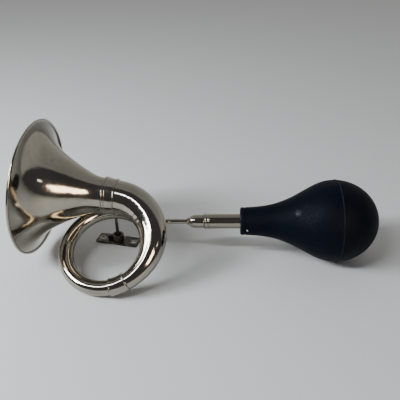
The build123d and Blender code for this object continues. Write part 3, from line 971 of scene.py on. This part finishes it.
# ---- floor, light and camera ----------------------------------------------------------------
FLOOR_HALF = 6.0
floor_mesh = bpy.data.meshes.new("floor")
corners = [(x * FLOOR_HALF, y * FLOOR_HALF, 0.0) for x, y in ((-1, -1), (1, -1), (1, 1), (-1, 1))]
floor_mesh.from_pydata(corners, [], [(0, 1, 2, 3)])
floor = bpy.data.objects.new("floor", floor_mesh)
bpy.context.scene.collection.objects.link(floor)
paint = Surface("floor_paint", 0.0, Specular_IOR_Level=0.3, Roughness=0.55)
paint.shader.inputs["Base Color"].default_value = (0.74, 0.75, 0.75, 1)
floor_mesh.materials.append(paint.material)


def direction(azimuth, elevation):
    """Unit vector; azimuth is from +Y towards +X, in degrees."""
    a, e = radians(azimuth), radians(elevation)
    return Vector((sin(a) * cos(e), cos(a) * cos(e), sin(e)))


def area_light(name, place, turn, size, glow, colour):
    """Rectangular light; glow is its brightness as a perfect mirror would show it."""
    data = bpy.data.lights.new(name, "AREA")
    data.shape = "RECTANGLE"
    data.size, data.size_y = size
    data.energy = glow * pi * size[0] * size[1]
    data.color = colour
    light = bpy.data.objects.new(name, data)
    light.location = place
    light.rotation_euler = turn
    bpy.context.scene.collection.objects.link(light)
    return light


def soft_light(name, azimuth, elevation, distance, size, glow, colour, tilt=0.0):
    """A light that faces the horn from a direction, turned about its own axis by tilt."""
    away = direction(azimuth, elevation)
    turn = away.to_track_quat("Z", "Y") @ Quaternion((0, 0, 1), radians(tilt))
    return area_light(name, LIGHTS_AIM + away * distance, turn.to_euler(), size, glow, colour)


LIGHTS_AIM = Vector((-0.05, 0, 0.05))
COOL, CREAM = (0.92, 0.96, 1.0), (1.0, 0.92, 0.80)
soft_light("window", -104, 32, 1.25, (0.40, 0.36), 34.0, COOL)
soft_light("window_gap", 121, 28, 1.6, (0.20, 0.035), 10.0, CREAM, -28)
# The warm window shows in the metal but leaves the floor neutral
WARM = (1.0, 0.78, 0.56)
warm_window = soft_light("warm_window", 149, 28, 1.6, (0.60, 0.50), 17.0, WARM, -45)
warm_window.visible_diffuse = False
# A long ceiling light, level and in line with the mouth pipe
area_light("ceiling_strip", (-1.70, -0.84, 1.55), (0, 0, 0), (2.4, 0.10), 55.0, (0.96, 0.98, 1.0))

world = bpy.data.worlds.new("room")
bpy.context.scene.world = world
world.use_nodes = True
sky = world.node_tree
backdrop = sky.nodes["Background"]
way = sky.nodes.new("ShaderNodeSeparateXYZ")
sky.links.new(sky.nodes.new("ShaderNodeTexCoord").outputs["Generated"], way.inputs[0])


def sky_share(axis, low, high):
    """Rises from 0 to 1 as a direction's component goes from low to high."""
    share = sky.nodes.new("ShaderNodeMapRange")
    share.interpolation_type = "SMOOTHSTEP"
    share.inputs["From Min"].default_value = low
    share.inputs["From Max"].default_value = high
    sky.links.new(way.outputs[axis], share.inputs["Value"])
    return share.outputs["Result"]


def sky_mix(share, first, second):
    """Mixes two sky colours, either of which may be a socket."""
    mix = sky.nodes.new("ShaderNodeMix")
    mix.data_type = "RGBA"
    sockets = [x for x in mix.inputs if x.type == "RGBA"]
    sky.links.new(share, mix.inputs["Factor"])
    for socket, colour in zip(sockets, (first, second)):
        if isinstance(colour, tuple):
            socket.default_value = (*colour, 1)
        else:
            sky.links.new(colour, socket)
    return [x for x in mix.outputs if x.type == "RGBA"][0]


# Behind the horn a pale wall, dimmer higher up; before it a dim room, brown near the floor
wall = sky_mix(sky_share("Z", 0.0, 0.9), (0.64, 0.63, 0.60), (0.42, 0.418, 0.405))
dim = (0.092, 0.089, 0.097)
low_room = sky_mix(sky_share("Y", -0.95, -0.75), (0.125, 0.092, 0.082), dim)
room = sky_mix(sky_share("Z", 0.04, 0.2), low_room, dim)
sky.links.new(sky_mix(sky_share("Y", -0.01, 0.07), room, wall), backdrop.inputs["Color"])

# Camera at the photograph's viewing angle; its place is in metres
HEADING, PITCH, ROLL = radians(-1.6), radians(30.64), radians(-1.18)
CAMERA_PLACE = Vector((0.01247, -0.51804, 0.38380))
camera_data = bpy.data.cameras.new("camera")
camera_data.lens = 44.96
camera_data.sensor_width = 36.0
camera = bpy.data.objects.new("camera", camera_data)
bpy.context.scene.collection.objects.link(camera)
forward = Vector((sin(HEADING) * cos(PITCH), cos(HEADING) * cos(PITCH), -sin(PITCH)))
level = forward.cross(Vector((0, 0, 1))).normalized()
upward = level.cross(forward)
right = level * cos(ROLL) + upward * sin(ROLL)
upward = upward * cos(ROLL) - level * sin(ROLL)
pose = Matrix((right, upward, -forward)).transposed().to_4x4()
pose.translation = CAMERA_PLACE
camera.matrix_world = pose
bpy.context.scene.camera = camera
